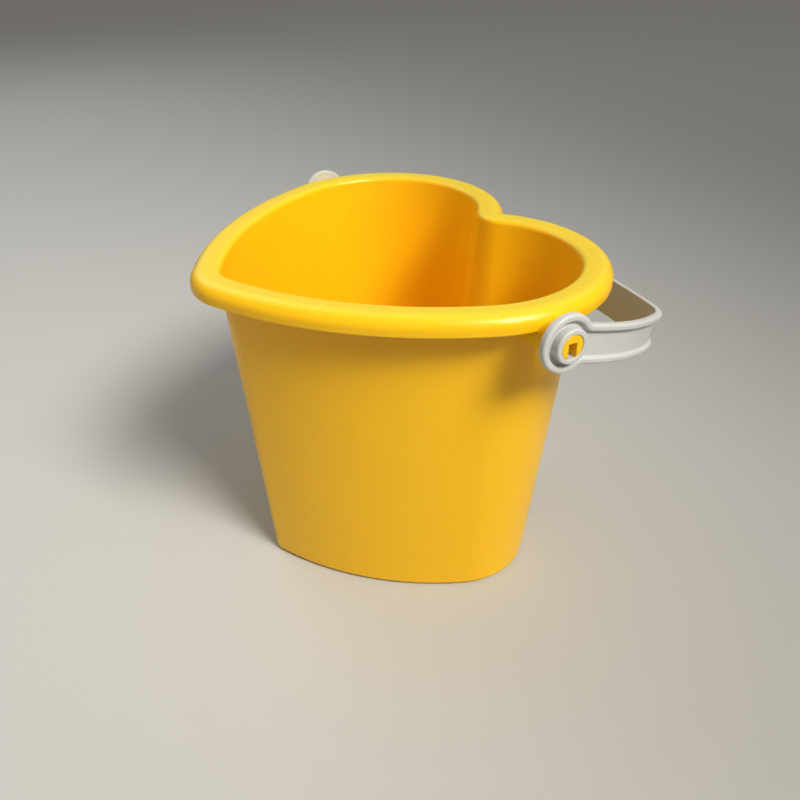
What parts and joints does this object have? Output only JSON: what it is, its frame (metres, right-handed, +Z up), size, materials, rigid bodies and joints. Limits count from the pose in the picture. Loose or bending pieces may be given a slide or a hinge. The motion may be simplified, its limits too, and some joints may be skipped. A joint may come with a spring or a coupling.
{
  "type": "sand bucket",
  "caption": "Heart-shaped sand bucket with tapered walls, a rolled rim and a strap handle that swings on side pegs.",
  "frame": {"origin": "on the flat base, plumb below the middle of the handle's hinge line", "axes": "+Z up, +Y towards the cleft between the lobes, -Y towards the heart's tip, X along the hinge line"},
  "size_m": [0.2258, 0.1919, 0.161],
  "materials": {
    "bucket_plastic": "satin",
    "handle_plastic": "satin"
  },
  "bodies": {
    "bucket": {"bucket_shell": "bucket_plastic", "bucket_rim": "bucket_plastic", "pivot_pin_right": "bucket_plastic", "pivot_pin_left": "bucket_plastic"},
    "handle": {"handle": "handle_plastic"}
  },
  "joints": [
    {"name": "handle_swing", "type": "hinge", "parent": "bucket", "child": "handle", "pos_m": [0, 0, 0.1488], "axis": [1, 0, 0], "range_deg": [-34.5, 180]}
  ]
}
